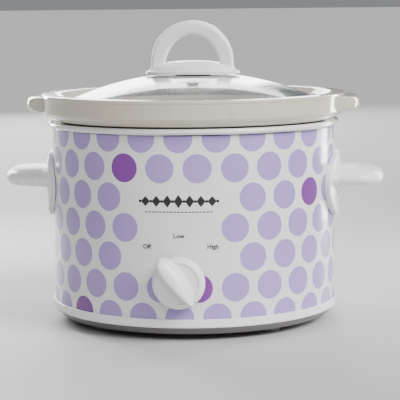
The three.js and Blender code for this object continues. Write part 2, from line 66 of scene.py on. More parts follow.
def bottom(node):
    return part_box(node)[0].z / MM


def top(node):
    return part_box(node)[1].z / MM


# ---- mesh helpers, in millimetres round the housing's axis --------------------------------------
MERGE = 4e-6  # metres: points closer than this are one


def arc(centre, radius, start, end, steps):
    """Points of an arc, with its angles in degrees."""
    angles = [math.radians(start + (end - start) * i / steps) for i in range(steps + 1)]
    return [(centre[0] + radius * math.cos(a), centre[1] + radius * math.sin(a)) for a in angles]


def rounded(corners, steps=5, closed=True):
    """A polygon of (x, y, radius) corners, each turned into an arc of that radius where it fits."""
    outline = []
    count = len(corners)
    for i, (x, y, radius) in enumerate(corners):
        here = Vector((x, y))
        before = Vector(corners[i - 1][:2]) - here
        after = Vector(corners[(i + 1) % count][:2]) - here
        at_end = not closed and i in (0, count - 1)
        shortest = min(before.length, after.length)
        if at_end or radius == 0 or shortest < 1e-6:
            outline += [(x, y)] * (1 if at_end or radius == 0 else steps + 1)
            continue
        half = before.angle(after) / 2
        back = min(radius / math.tan(half), 0.48 * shortest)
        start = here + before.normalized() * back
        end = here + after.normalized() * back
        for k in range(steps + 1):
            t = k / steps
            outline.append(tuple(start.lerp(here, t).lerp(here.lerp(end, t), t)))
    return outline


def mesh_of(name, rings, closed_rings=True, capped=False, cyclic=False):
    """A mesh through rings of points. A ring whose points all meet becomes one vertex."""
    made = bmesh.new()
    loops = []
    for ring in rings:
        if max((Vector(p) - Vector(ring[0])).length for p in ring) < 1e-5:
            loops.append([made.verts.new(Vector(ring[0]) * MM)])
        else:
            loops.append([made.verts.new(Vector(p) * MM) for p in ring])
    pairs = list(zip(loops, loops[1:] + loops[:1])) if cyclic else list(zip(loops, loops[1:]))
    for a, b in pairs:
        count = max(len(a), len(b))
        for i in range(count if closed_rings else count - 1):
            j = (i + 1) % count
            corners = [a[i % len(a)], a[j % len(a)], b[j % len(b)], b[i % len(b)]]
            corners = list(dict.fromkeys(corners))
            if len(corners) > 2:
                made.faces.new(corners)
    if capped:
        for loop in (loops[0], loops[-1]):
            if len(loop) > 2:
                made.faces.new(loop)
    bmesh.ops.remove_doubles(made, verts=made.verts, dist=MERGE)
    bmesh.ops.recalc_face_normals(made, faces=made.faces)
    mesh = bpy.data.meshes.new(name)
    made.to_mesh(mesh)
    made.free()
    return mesh


def joined(name, meshes):
    """One mesh that holds the shells of several."""
    made = bmesh.new()
    for mesh in meshes:
        made.from_mesh(mesh)
    result = bpy.data.meshes.new(name)
    made.to_mesh(result)
    made.free()
    return result


def shade(mesh, angle=38):
    """Smooth shading, with edges sharper than an angle kept."""
    mesh.polygons.foreach_set("use_smooth", [True] * len(mesh.polygons))
    mesh.set_sharp_from_angle(angle=math.radians(angle))


def piece(name, mesh, material, body, replaces=(), at=None):
    """Puts a mesh on the housing's axis, or where a matrix says, and makes it part of a body."""
    mesh.transform(at if at is not None else Matrix.Translation(AXIS))
    shade(mesh)
    mesh.materials.append(material)
    made = bpy.data.objects.new(name, mesh)
    bpy.context.scene.collection.objects.link(made)
    weighted = made.modifiers.new("weighted_normals", "WEIGHTED_NORMAL")
    weighted.keep_sharp = True
    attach(made, body)
    if replaces:
        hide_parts(*replaces)
    return made


def turned(name, profile, segments=160):
    """A closed profile of (radius, height) turned about the Z axis."""
    rings = []
    for i in range(segments):
        a = 2 * math.pi * i / segments
        rings.append([(r * math.cos(a), r * math.sin(a), z) for r, z in profile])
    return mesh_of(name, rings, cyclic=True)


def superellipse(half_x, half_y, power, count):
    """Points round a superellipse, from +x."""
    points = []
    for i in range(count):
        a = 2 * math.pi * i / count
        c, s = math.cos(a), math.sin(a)
        x = half_x * math.copysign(abs(c) ** (2 / power), c)
        y = half_y * math.copysign(abs(s) ** (2 / power), s)
        points.append((x, y))
    return points


def smoothstep(low, high, value):
    t = min(max((value - low) / (high - low), 0), 1)
    return t * t * (3 - 2 * t)


def on_shell(along, up, out):
    """A point on the shell: along is the arc from the front, towards +X; out is off its surface."""
    a = along / SHELL_R
    r = SHELL_R + out
    return (r * math.sin(a), -r * math.cos(a), up)


# ---- material helpers ------------------------------------------------------------------------
class Look:
    """A Principled material and the nodes that drive it."""

    def __init__(self, name, color, roughness, **settings):
        self.material = bpy.data.materials.new(name)
        self.material.use_nodes = True
        self.tree = self.material.node_tree
        self.shader = self.tree.nodes["Principled BSDF"]
        self.color = color
        self.shader.inputs["Base Color"].default_value = (*color, 1)
        self.shader.inputs["Roughness"].default_value = roughness
        for key, value in settings.items():
            self.shader.inputs[key.replace("_", " ")].default_value = value
        self.place = self.add("ShaderNodeTexCoord").outputs["Object"]
        self.normal = None

    def add(self, kind, **settings):
        made = self.tree.nodes.new(kind)
        for key, value in settings.items():
            setattr(made, key, value)
        return made

    def link(self, source, target):
        self.tree.links.new(source, target)

    def math(self, operation, *values):
        made = self.add("ShaderNodeMath", operation=operation)
        for socket, value in zip(made.inputs, values):
            if isinstance(value, (int, float)):
                socket.default_value = value
            else:
                self.link(value, socket)
        return made.outputs[0]

    def noise(self, scale, detail=3, stretch=(1, 1, 1)):
        mapping = self.add("ShaderNodeMapping")
        mapping.inputs["Scale"].default_value = stretch
        self.link(self.place, mapping.inputs["Vector"])
        made = self.add("ShaderNodeTexNoise")
        made.inputs["Scale"].default_value = scale
        made.inputs["Detail"].default_value = detail
        self.link(mapping.outputs["Vector"], made.inputs["Vector"])
        return made.outputs["Fac"]

    def between(self, value, low, high, to_low=0.0, to_high=1.0):
        made = self.add("ShaderNodeMapRange", interpolation_type="SMOOTHSTEP")
        self.link(value, made.inputs["Value"])
        limits = {"From Min": low, "From Max": high, "To Min": to_low, "To Max": to_high}
        for key, number in limits.items():
            made.inputs[key].default_value = number
        return made.outputs["Result"]

    def mix(self, factor, a, b):
        made = self.add("ShaderNodeMix", data_type="RGBA")
        if isinstance(factor, (int, float)):
            made.inputs["Factor"].default_value = factor
        else:
            self.link(factor, made.inputs["Factor"])
        for socket, value in ((made.inputs["A"], a), (made.inputs["B"], b)):
            if isinstance(value, tuple):
                socket.default_value = (*value, 1)
            else:
                self.link(value, socket)
        return made.outputs["Result"]

    def set_color(self, source):
        self.link(source, self.shader.inputs["Base Color"])

    def set_roughness(self, value, low, high):
        self.link(self.between(value, 0.3, 0.7, low, high), self.shader.inputs["Roughness"])

    def bump(self, height, depth_mm, strength=1.0):
        made = self.add("ShaderNodeBump")
        made.inputs["Strength"].default_value = strength
        made.inputs["Distance"].default_value = depth_mm * MM
        self.link(height, made.inputs["Height"])
        if self.normal is not None:
            self.link(self.normal, made.inputs["Normal"])
        self.normal = made.outputs["Normal"]
        self.link(self.normal, self.shader.inputs["Normal"])

    def blotches(self, scale, darker, amount=0.5):
        """Slow colour change over the surface."""
        patches = self.between(self.noise(scale, 4), 0.35, 0.7, 0, amount)
        self.set_color(self.mix(patches, self.color, darker))


def shaded(color, factor):
    return tuple(c * factor for c in color)


# ---- materials -------------------------------------------------------------------------------
WHITE = (0.80, 0.79, 0.78)
DOT_LAVENDER = (0.34, 0.245, 0.56)
DOT_PURPLE = (0.17, 0.026, 0.26)
DOT_COLUMNS = 25  # round the shell, in each row
DOT_RADIUS = 10.4
DOT_ROW_PITCH = 21.42
DOT_ROW_1 = 146.1  # height of the top row's centres
CLEAR_PATCH = {3: 1.1, 4: 0.6, 5: 1.1}  # row: half-width of the undotted front, in columns
PURPLE_DOTS = (  # row, column
    (2, -1.5), (3, 4), (6, 0.5), (7, -3), (4, 8.5),
    (2, 7.5), (6, -6.5), (3, -9), (5, 11), (1, -7),
)


def printed_enamel():
    """White enamel printed with staggered dots, and a plain patch in front for the control."""
    look = Look("printed_enamel", WHITE, 0.2, Coat_Weight=0.35, Coat_Roughness=0.06)
    split = look.add("ShaderNodeSeparateXYZ")
    look.link(look.place, split.inputs[0])
    x = look.math("SUBTRACT", split.outputs["X"], AXIS.x)
    back = look.math("SUBTRACT", AXIS.y, split.outputs["Y"])
    angle = look.math("ARCTAN2", x, back)
    column = look.math("MULTIPLY", angle, DOT_COLUMNS / (2 * math.pi))
    height = look.math("DIVIDE", split.outputs["Z"], MM)
    row_place = look.math("DIVIDE", look.math("SUBTRACT", DOT_ROW_1, height), DOT_ROW_PITCH)
    row = look.math("ROUND", row_place)
    stagger = look.math("MULTIPLY", look.math("PINGPONG", row, 1), 0.5)
    index = look.math("ADD", look.math("ROUND", look.math("SUBTRACT", column, stagger)), stagger)
    column_pitch = 2 * math.pi * SHELL_R / DOT_COLUMNS
    across = look.math("MULTIPLY", look.math("SUBTRACT", column, index), column_pitch)
    up = look.math("MULTIPLY", look.math("SUBTRACT", row_place, row), DOT_ROW_PITCH)
    squares = look.math("ADD", look.math("MULTIPLY", across, across), look.math("MULTIPLY", up, up))
    wobble = look.between(look.noise(900, 2), 0.3, 0.7, -0.05, 0.05)
    distance = look.math("ADD", look.math("SQRT", squares), wobble)
    dot = look.between(distance, DOT_RADIUS + 0.12, DOT_RADIUS - 0.12)

    def is_value(socket, value, slack=0.2):
        return look.math("COMPARE", socket, value, slack)

    width = look.math("ABSOLUTE", index)
    for number, half in CLEAR_PATCH.items():
        inside = look.math("MULTIPLY", is_value(row, number - 1), look.math("LESS_THAN", width, half))
        dot = look.math("SUBTRACT", dot, look.math("MULTIPLY", dot, inside))
    purple = None
    for number, place in PURPLE_DOTS:
        here = look.math("MULTIPLY", is_value(row, number - 1), is_value(index, place))
        purple = here if purple is None else look.math("MAXIMUM", purple, here)
    tint = look.between(look.noise(14, 2), 0.3, 0.7)
    lavender = look.mix(tint, DOT_LAVENDER, shaded(DOT_LAVENDER, 1.08))
    violet = look.mix(tint, DOT_PURPLE, shaded(DOT_PURPLE, 1.2))
    ink = look.mix(purple, lavender, violet)
    paper = look.mix(look.between(look.noise(9, 3), 0.3, 0.7), WHITE, shaded(WHITE, 0.965))
    look.set_color(look.mix(dot, paper, ink))
    look.set_roughness(look.noise(60, 3), 0.15, 0.24)
    look.bump(look.noise(420, 2), 0.02, 0.35)
    look.bump(dot, 0.012, 0.5)
    return look.material


def white_moulding(name, color=WHITE, gloss=0.24):
    look = Look(name, color, gloss, IOR=1.49, Subsurface_Weight=0.06, Subsurface_Scale=0.002)
    look.blotches(22, shaded(color, 0.95))
    look.set_roughness(look.noise(140, 3), gloss - 0.05, gloss + 0.07)
    look.bump(look.noise(2400, 2), 0.012, 0.25)
    look.bump(look.noise(70, 2), 0.05, 0.12)
    return look.material


def enamelled_steel():
    look = Look("white_enamel", shaded(WHITE, 0.97), 0.16, Coat_Weight=0.5, Coat_Roughness=0.05)
    look.blotches(30, shaded(WHITE, 0.9))
    look.set_roughness(look.noise(120, 3), 0.12, 0.24)
    look.bump(look.noise(380, 2), 0.03, 0.35)
    return look.material


GLAZE = (0.60, 0.55, 0.445)


def cream_glaze():
    """A thick cream glaze with fine specks, a little thinner and browner over sharp edges."""
    look = Look("cream_glaze", GLAZE, 0.1, Coat_Weight=0.7, Coat_Roughness=0.03, IOR=1.52)
    pools = look.between(look.noise(18, 4), 0.3, 0.7)
    body = look.mix(pools, GLAZE, shaded(GLAZE, 0.94))
    specks = look.between(look.noise(1100, 1), 0.71, 0.76)
    speckled = look.mix(specks, body, shaded(GLAZE, 0.62))
    edge = look.add("ShaderNodeNewGeometry").outputs["Pointiness"]
    look.set_color(look.mix(look.between(edge, 0.54, 0.62, 0, 0.35), speckled, shaded(GLAZE, 0.8)))
    look.set_roughness(look.noise(50, 3), 0.07, 0.15)
    look.bump(look.noise(55, 3), 0.25, 0.25)
    look.bump(look.noise(700, 2), 0.015, 0.3)
    return look.material


def clear_glass():
    look = Look("clear_glass", (0.94, 0.97, 0.96), 0.02, Transmission_Weight=1.0, IOR=1.48)
    look.set_roughness(look.noise(40, 4), 0.008, 0.035)
    look.bump(look.noise(26, 2), 0.12, 0.12)
    return look.material


def brushed_metal(name, color, low, high, grain=(1, 1, 40)):
    look = Look(name, color, low, Metallic=1.0)
    lines = look.noise(160, 4, grain)
    look.set_color(look.mix(look.between(lines, 0.3, 0.7), color, shaded(color, 0.82)))
    look.set_roughness(look.noise(90, 4, grain), low, high)
    look.bump(lines, 0.02, 0.3)
    return look.material


def soft_rubber(name, color):
    look = Look(name, color, 0.7, Sheen_Weight=0.15)
    look.blotches(60, shaded(color, 0.75))
    look.set_roughness(look.noise(200, 3), 0.6, 0.85)
    look.bump(look.noise(1500, 3), 0.05, 0.5)
    return look.material


def mica_board():
    look = Look("mica_board", (0.42, 0.32, 0.17), 0.45)
    flakes = look.add("ShaderNodeTexVoronoi")
    flakes.inputs["Scale"].default_value = 260
    look.link(look.place, flakes.inputs["Vector"])
    look.set_color(look.mix(flakes.outputs["Distance"], look.color, (0.62, 0.52, 0.33)))
    look.bump(flakes.outputs["Distance"], 0.1, 0.6)
    return look.material


def glass_wool():
    look = Look("glass_wool", (0.78, 0.74, 0.6), 0.95, Sheen_Weight=0.4)
    fibres = look.noise(300, 6, (1, 1, 7))
    look.set_color(look.mix(look.between(fibres, 0.3, 0.7), look.color, shaded(look.color, 0.72)))
    look.bump(fibres, 0.8, 0.9)
    return look.material


def phenolic():
    look = Look("phenolic", (0.028, 0.024, 0.021), 0.4)
    look.blotches(80, (0.05, 0.042, 0.036), 0.8)
    look.set_roughness(look.noise(300, 3), 0.32, 0.5)
    look.bump(look.noise(900, 2), 0.03, 0.4)
    return look.material


def bare_ceramic():
    look = Look("bare_ceramic", (0.8, 0.77, 0.7), 0.55)
    look.blotches(90, (0.68, 0.63, 0.54))
    look.bump(look.noise(1300, 4), 0.05, 0.5)
    return look.material


def dark_ink():
    look = Look("dark_ink", (0.012, 0.01, 0.013), 0.35)
    look.blotches(500, (0.03, 0.026, 0.03), 0.8)
    look.bump(look.noise(3000, 2), 0.01, 0.4)
    return look.material


STEEL = (0.56, 0.56, 0.57)
ENAMEL = enamelled_steel()
PRINT = printed_enamel()
PLASTIC = white_moulding("white_plastic", (0.87, 0.86, 0.865))
# dark grey for the base pan: painted shade under the white band, not the moulding's own colour
PAN_SHADE_GREY = white_moulding("grey_plastic", (0.165, 0.152, 0.157), 0.34)
GLAZED = cream_glaze()
GLASS = clear_glass()
PLATED = brushed_metal("plated_steel", STEEL, 0.22, 0.38, (12, 12, 1))
ALUMINISED = brushed_metal("aluminised_steel", (0.6, 0.6, 0.585), 0.34, 0.5)
BRASS = brushed_metal("brass", (0.68, 0.5, 0.2), 0.25, 0.4)
FOOT_RUBBER = soft_rubber("foot_rubber", (0.2, 0.195, 0.195))
SILICONE = soft_rubber("silicone", (0.11, 0.105, 0.1))
BLACK_RUBBER = soft_rubber("black_rubber", (0.02, 0.02, 0.021))
INK = dark_ink()
SLOT_LOOKS = {
    "printed_shell": PRINT,
    "white_trim": ENAMEL,
    "white_plastic": PLASTIC,
    "grey_plastic": PAN_SHADE_GREY,
    "glazed_stoneware": GLAZED,
    "clear_glass": GLASS,
    "aluminised_steel": ALUMINISED,
    "plated_steel": PLATED,
    "mica_band": mica_board(),
    "glass_wool": glass_wool(),
    "bakelite": phenolic(),
    "brass_tab": BRASS,
    "white_ceramic": bare_ceramic(),
    "grey_rubber": FOOT_RUBBER,
    "grey_silicone": SILICONE,
    "red_sleeve": soft_rubber("red_sleeve", (0.36, 0.04, 0.025)),
    "black_sleeve": BLACK_RUBBER,
    "green_sleeve": soft_rubber("green_sleeve", (0.05, 0.17, 0.06)),
}


# ---- housing ---------------------------------------------------------------------------------
def outer_shell():
    low, high = bottom("outer_shell"), top("outer_shell")
    inside = SHELL_R - SHEET
    corners = [(inside, low, 0.2), (SHELL_R, low, 0.2), (SHELL_R, high, 0.5), (inside, high, 0.2)]
    profile = rounded(corners, 3)
    mesh = turned("shell", profile, 256)
    piece("shell", mesh, PRINT, "housing", ["outer_shell"])


def shell_seam():
    """The folded seam that closes the rolled sheet, down the back."""
    low, high = bottom("outer_shell") + 3.2, top("outer_shell") - 0.3
    half_turn = math.pi * SHELL_R
    section = rounded([(-3.4, -0.2, 0), (3.4, -0.2, 0), (3.4, 0.55, 0.5), (-3.4, 0.55, 0.5)], 4)
    rings = []
    for i in range(9):
        z = low + (high - low) * i / 8
        rings.append([on_shell(half_turn + along, z, out) for along, out in section])
    mesh = mesh_of("shell_seam", rings, capped=True)
    piece("shell_seam", mesh, PRINT, "housing")


def rim_ring():
    """A rolled bead with a flange inwards, its lower edge a little uneven as rolled sheet is."""
    outside = reach("rim_ring")
    low, high = bottom("rim_ring"), top("rim_ring")
    bead = (high - low) / 2
    middle = (low + high) / 2
    inner = SHELL_R - 5.8
    profile = [(SHELL_R - 1, low + 0.1)]
    profile += arc((outside - bead, middle), bead, -90, 90, 14)
    profile += [(SHELL_R - 1, high - 0.15), (inner + 1, high - 0.6), (inner, high - 1.4)]
    profile += [(inner, high - 2.4), (SHELL_R - 1.2, high - 2.4)]
    mesh = turned("rim_ring", profile, 224)
    for vertex in mesh.vertices:
        angle = math.atan2(vertex.co.x, -vertex.co.y)
        share = smoothstep(high, low, vertex.co.z / MM)
        wave = 0.5 + 0.5 * math.sin(7 * angle + 0.6) * math.cos(3 * angle)
        vertex.co.z += 0.45 * MM * wave * share
    piece("rim_bead", mesh, ENAMEL, "housing", ["rim_ring"])


def inner_liner():
    low, high = bottom("inner_liner"), top("inner_liner")
    upper, lower = 100.5, 88.5  # radii inside, at the mouth and at the floor
    outside = [
        (0, low, 0),
        (lower - 1, low, 15),
        (upper + SHEET, high - SHEET, 1.2),
        (reach("inner_liner"), high - SHEET, 0.3),
        (reach("inner_liner"), high, 0.3),
    ]
    inside = [(upper, high, 1.6), (lower - 1.4, low + SHEET, 15), (0, low + SHEET, 0)]
    profile = rounded(outside + inside, 8, closed=False)
    mesh = turned("liner", profile, 192)
    piece("liner", mesh, ALUMINISED, "housing", ["inner_liner"])


def carve(obj, cutters):
    """Cuts pieces out of an object for good, and deletes them."""
    for cutter in cutters:
        cut = obj.modifiers.new("cut", "BOOLEAN")
        cut.object = cutter
        cut.solver = "EXACT"
    bpy.context.view_layer.update()
    depsgraph = bpy.context.evaluated_depsgraph_get()
    weighted = obj.modifiers["weighted_normals"]
    weighted.show_viewport = False
    bpy.context.view_layer.update()
    result = bpy.data.meshes.new_from_object(obj.evaluated_get(depsgraph))
    for cut in [m for m in obj.modifiers if m.type == "BOOLEAN"]:
        obj.modifiers.remove(cut)
    weighted.show_viewport = True
    obj.data = result
    shade(obj.data)
    for cutter in cutters:
        bpy.data.objects.remove(cutter)


VENTS = 8
VENT_FROM, VENT_TO, VENT_HALF = 36, 62, 2


def vent_cutter(angle):
    """An upright slot with round ends, on a spoke of the pan."""
    outline = arc((VENT_TO, 0), VENT_HALF, -90, 90, 10) + arc((VENT_FROM, 0), VENT_HALF, 90, 270, 10)
    rings = [[(x, y, z) for x, y in outline] for z in (2, 10)]
    mesh = mesh_of("vent_cutter", rings, capped=True)
    mesh.transform(Matrix.Translation(AXIS) @ Matrix.Rotation(angle, 4, "Z"))
    made = bpy.data.objects.new("vent_cutter", mesh)
    bpy.context.scene.collection.objects.link(made)
    return made


BAND_INSIDE, BAND_TOP, BAND_SHELF = 104.4, 16.7, 14
PAN_TOP, PAN_WALL = 10.1, 3


def base_band():
    """The white moulded band round the foot of the shell, with a step under it."""
    edge = reach("base_band")
    low, high = bottom("base_band"), BAND_TOP
    inside = SHELL_R - 1.1
    profile = rounded(
        [
            (BAND_INSIDE, low, 0.3),
            (edge - 0.5, low, 0.4),
            (edge, low + 0.8, 0.7),
            (edge, high, 0.9),
            (SHELL_R + 0.3, high, 0.2),
            (SHELL_R + 0.3, BAND_SHELF, 0),
            (inside, BAND_SHELF, 0),
            (inside, top("base_band"), 0.4),
            (BAND_INSIDE, top("base_band"), 0.4),
        ],
        4,
    )
    mesh = turned("base_band_ring", profile, 192)
    piece("base_band_ring", mesh, PLASTIC, "housing", ["base_band"])


def base_pan():
    """The pan that closes the cooker underneath: a chamfered edge and a vented floor, its dark grey painted shade
    under the band.
    """
    edge = reach("base_pan")
    low, high = bottom("base_pan"), PAN_TOP
    profile = rounded(
        [
            (3.4, 11, 0.3),
            (13, 11, 1.5),
            (15.5, low, 0.8),
            (103.5, low, 1.5),
            (edge, high - 0.7, 0.5),
            (edge, high, 0.2),
            (103.9, high, 0.2),
            (101.6, low + PAN_WALL, 1),
            (18.5, low + PAN_WALL, 1),
            (16, 14, 1),
            (3.4, 14, 0.3),
        ],
        4,
    )
    mesh = turned("base_dish", profile, 192)
    # the pan's dark grey is painted shade under the band
    made = piece("base_dish", mesh, PAN_SHADE_GREY, "housing", ["base_pan"])
    carve(made, [vent_cutter(2 * math.pi * (i + 0.5) / VENTS) for i in range(VENTS)])


def feet():
    for node in [n for n in frame["nodes"] if n.startswith("foot_")]:
        low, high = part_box(node)
        centre = (low + high) / 2
        radius = (high.x - low.x) / 2 / MM
        profile = rounded(
            [
                (0, 0, 0),
                (radius - 4.6, 0, 0.4),
                (radius - 3.6, 0.5, 0.4),
                (radius - 1.6, 0, 0.8),
                (radius, 4.7, 0.5),
                (4.9, 4.7, 0),
                (4.9, 8.4, 0.3),
                (6.3, 8.7, 0.5),
                (4.6, high.z / MM, 1.2),
                (0, high.z / MM, 0),
            ],
            4,
            closed=False,
        )
        mesh = turned(node + "_pad", profile, 64)
        place = Matrix.Translation((centre.x, centre.y, 0))
        piece(node + "_pad", mesh, FOOT_RUBBER, "housing", [node], at=place)


# ---- side handles ----------------------------------------------------------------------------
GRIP_HALF_WIDTH, GRIP_HALF_THICK = 33, 8.7
GRIP_ROOT = SHELL_R + 1.2  # where the grip starts, inside its plate
GRIP_MIDDLE = 108.8  # height of the grips
POCKET_DEPTH = 7  # of the hollow for the fingers, underneath
PLATE_HALF = 38.5  # along the shell
PLATE_THICK = 4.9


def grip_section(share):
    """Half-width and half-thickness of the grip at a share of its reach: a D seen from above."""
    width = GRIP_HALF_WIDTH * max(1 - share**3.2, 0) ** (1 / 2.1)
    thickness = GRIP_HALF_THICK * max(1 - share**6, 0) ** 0.5
    return width, thickness


def side_grip_rings(root, tip, middle):
    """Sections of the grip from inside its plate out to its tip, hollowed underneath."""
    rings = []
    steps = 60
    for i in range(steps + 1):
        share = math.sin(math.pi / 2 * i / steps)
        x = root + (tip - root) * share
        width, thickness = grip_section(share)
        flare = 1.8 * (1 - smoothstep(3, 8, x - root)) ** 2
        curved = 1 - smoothstep(0, 0.55, share)
        ring = []
        for y, z in superellipse(width + flare, thickness + 0.7 * flare, 2.2, 144):
            inside = smoothstep(23, 17, abs(y)) * smoothstep(root + 7, root + 11, x)
            inside *= smoothstep(tip - 8, tip - 14, x)
            lift = POCKET_DEPTH * inside * smoothstep(1.5, 5.5, -z)
            sunk = curved * (root - math.sqrt(root**2 - y**2))
            ring.append((x - sunk, y, middle + z + lift))
        rings.append(ring)
    return rings


def escutcheon_rings(middle):
    """The oval plate that hugs the shell: an even slab with a rounded edge."""
    tall = (top("side_handle_right") - bottom("side_handle_right")) / 2
    edge = rounded([(0, 0.3, 0), (0, PLATE_THICK, 2), (3, PLATE_THICK + 0.1, 0)], 7, closed=False)
    face = [(3 + (tall - 3) * i / 6, PLATE_THICK + 0.1) for i in range(1, 7)]
    rings = []
    for inset, out in [(tall, 0.3)] + edge + face:
        ring = []
        shrunk = max(1 - inset / tall, 0)
        along_half = (PLATE_HALF - min(inset, 3)) * (1 if inset <= 3 else shrunk * tall / (tall - 3))
        for along, up in superellipse(along_half, tall - inset, 2.0, 120):
            angle = along / SHELL_R
            r = SHELL_R + out * (1 - 0.2 * (up / tall) ** 2)
            ring.append((r * math.cos(angle), r * math.sin(angle), middle + up))
        rings.append(ring)
    return rings


def side_handles():
    plate_middle = (bottom("side_handle_right") + top("side_handle_right")) / 2
    tip = reach("side_handle_right")
    for side, turn in (("right", 0), ("left", math.pi)):
        plate = mesh_of("plate", escutcheon_rings(plate_middle), capped=True)
        grip = mesh_of("grip", side_grip_rings(GRIP_ROOT, tip, GRIP_MIDDLE), capped=True)
        mesh = joined("side_grip_" + side, [plate, grip])
        place = Matrix.Translation(AXIS) @ Matrix.Rotation(turn, 4, "Z")
        node = "side_handle_" + side
        piece(mesh.name, mesh, PLASTIC, "housing", [node], at=place)


# ---- control ---------------------------------------------------------------------------------
KNOB_DEPTH = (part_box("control_knob")[1].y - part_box("control_knob")[0].y) / MM
KNOB_R = 19
KNOB_LEAN = 37  # degrees to the left of upright, at Off


def knob_skirt():
    profile = rounded(
        [
            (9.4, 0, 0.3),
            (KNOB_R - 0.3, 0, 0.4),
            (KNOB_R, 3.6, 0.5),
            (KNOB_R - 1.1, 7.6, 3.2),
            (KNOB_R - 4, 8.9, 1.2),
            (KNOB_R - 4.9, 7.9, 0.5),
            (KNOB_R - 5.8, 8.3, 0.6),
            (0, 8.9, 0),
            (0, 3.6, 0),
            (9.4, 3.6, 0.3),
        ],
        5,
    )
    return turned("knob_skirt", profile, 144)


def knob_blade():
    """The finger bar: a ridge with a steep side and a broad one, blunt where it points."""
    base = 7.8
    behind, ahead = -19.2, 22.6  # ends of the bar, from the knob's middle
    rings = []
    steps = 48
    for i in range(steps + 1):
        t = -math.cos(math.pi * i / steps)
        along = (behind + ahead) / 2 + (ahead - behind) / 2 * t
        nose = 3.0 * smoothstep(-0.3, 1, t) * math.sqrt(max(1 - abs(t) ** 18, 0))
        steep = 5.0 * max(1 - abs(t) ** 2.3, 0) ** 0.85 + nose
        broad = 7.4 * max(1 - abs(t) ** 2, 0) ** 0.9 + nose
        height = (KNOB_DEPTH - base - 3.2 * abs(t) ** 2.2) * math.sqrt(max(1 - abs(t) ** 16, 0))
        crest = -0.35 * steep
        ring = []
        for k in range(37):
            a = math.pi * k / 36
            if a < math.pi / 2:
                across = crest + (broad - crest) * math.cos(a) ** 0.95
                up = height * math.sin(a) ** 1.2
            else:
                across = crest - (steep + crest) * abs(math.cos(a)) ** 0.7
                up = height * math.sin(a) ** 0.8
            ring.append((across, along, base + up))
        rings.append(ring)
    return mesh_of("knob_blade", rings, capped=True)


def control_knob():
    mesh = joined("knob", [knob_skirt(), knob_blade()])
    back = Vector((KNOB_CENTRE.x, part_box("control_knob")[1].y, KNOB_CENTRE.z))
    facing = Matrix.Rotation(math.radians(90), 4, "X")
    lean = Matrix.Rotation(math.radians(-KNOB_LEAN), 4, "Y")
    place = Matrix.Translation(back) @ lean @ facing
    piece("knob", mesh, PLASTIC, "knob", ["control_knob"], at=place)


# ---- print on the shell ----------------------------------------------------------------------
INK_BACK, INK_FACE = 0.02, 0.09  # the film's two faces, off the shell
ORNAMENT_MIDDLE = 101.5  # height
WORD_HEIGHT = 3.15  # of a capital
CAPITAL_SHARE = 0.7  # a capital's height over the font's size
WORDS = (("Off", -23.4, 25), ("Low", 0, 32.9), ("High", 24.3, 25))  # along, and above the knob


def printed(name, outlines):
    """Ink on the shell: closed outlines of (along, up), each a thin film that follows the curve."""
    films = []
    for outline in outlines:
        rings = [[on_shell(x, z, out) for x, z in outline] for out in (INK_BACK, INK_FACE)]
        films.append(mesh_of(name, rings, capped=True))
    piece(name, joined(name, films), INK, "housing")


def ornament():
    """A plain row of lozenges and beads over a fine rule."""
    middle = ORNAMENT_MIDDLE
    shapes = []
    for i in range(-3, 4):
        tall = 4.9 - 0.4 * abs(i)
        lozenge = [(3.3, 0, 0.3), (0, tall, 0.3), (-3.3, 0, 0.3), (0, -tall, 0.3)]
        shapes.append([(8 * i + x, middle + y) for x, y in rounded(lozenge, 3)])
    for i in range(-4, 4):
        shapes.append([(8 * i + 4 + x, middle + y) for x, y in superellipse(1.1, 1.1, 2, 20)])
    for i in range(-9, 10):
        dash = superellipse(1.05, 0.4, 3, 16)
        shapes.append([(2.6 * i + x, middle - 7.6 + y) for x, y in dash])
    printed("ornament", shapes)


def word(text, along, up):
    """A setting's name beside the knob."""
    curve = bpy.data.curves.new("word_" + text, "FONT")
    curve.body = text
    curve.align_x = "CENTER"
    curve.align_y = "CENTER"
    curve.size = WORD_HEIGHT / CAPITAL_SHARE
    curve.extrude = 0.035
    curve.offset = 0.13
    curve.resolution_u = 4
    source = bpy.data.objects.new("word_source", curve)
    bpy.context.scene.collection.objects.link(source)
    bpy.context.view_layer.update()
    mesh = bpy.data.meshes.new_from_object(source)
    bpy.data.objects.remove(source)
    mesh.name = "word_" + text
    for vertex in mesh.vertices:
        x, y, z = vertex.co
        vertex.co = Vector(on_shell(along + x, up + y, (INK_BACK + INK_FACE) / 2 + z)) * MM
    piece(mesh.name, mesh, INK, "housing")


def words():
    for text, along, above in WORDS:
        word(text, along, KNOB_CENTRE.z / MM + above)


# ---- cord gland ------------------------------------------------------------------------------
def cord_gland():
    low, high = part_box("cord_gland")
    centre = (low + high) / 2
    depth = (high.y - low.y) / MM
    profile = rounded(
        [
            (3.6, 0, 0.4),
            (6.1, 0, 0.3),
            (6.1, depth - 4.9, 0.2),
            (9, depth - 4.9, 0.5),
            (8.6, depth - 3, 0.5),
            (7.6, depth, 1.2),
            (3.6, depth, 0.8),
        ],
        4,
    )
    mesh = turned("gland", profile, 72)
    place = Matrix.Translation((centre.x, low.y, centre.z)) @ Matrix.Rotation(math.radians(-90), 4, "X")
    piece("gland", mesh, BLACK_RUBBER, "housing", ["cord_gland"], at=place)


# ---- crock -----------------------------------------------------------------------------------
RIM_TOP = top("stoneware_crock")
LUG_R = reach("stoneware_crock")
LUG_HALF = 14.5  # degrees


def lug_share(angle):
    """How much of the lug there is at an angle from the front: 1 on a lug, 0 clear of it."""
    off = abs(abs(math.degrees(angle)) - 90)
    if off >= LUG_HALF:
        return 0
    return max(1 - (off / LUG_HALF) ** 3.4, 0) ** (1 / 1.9)


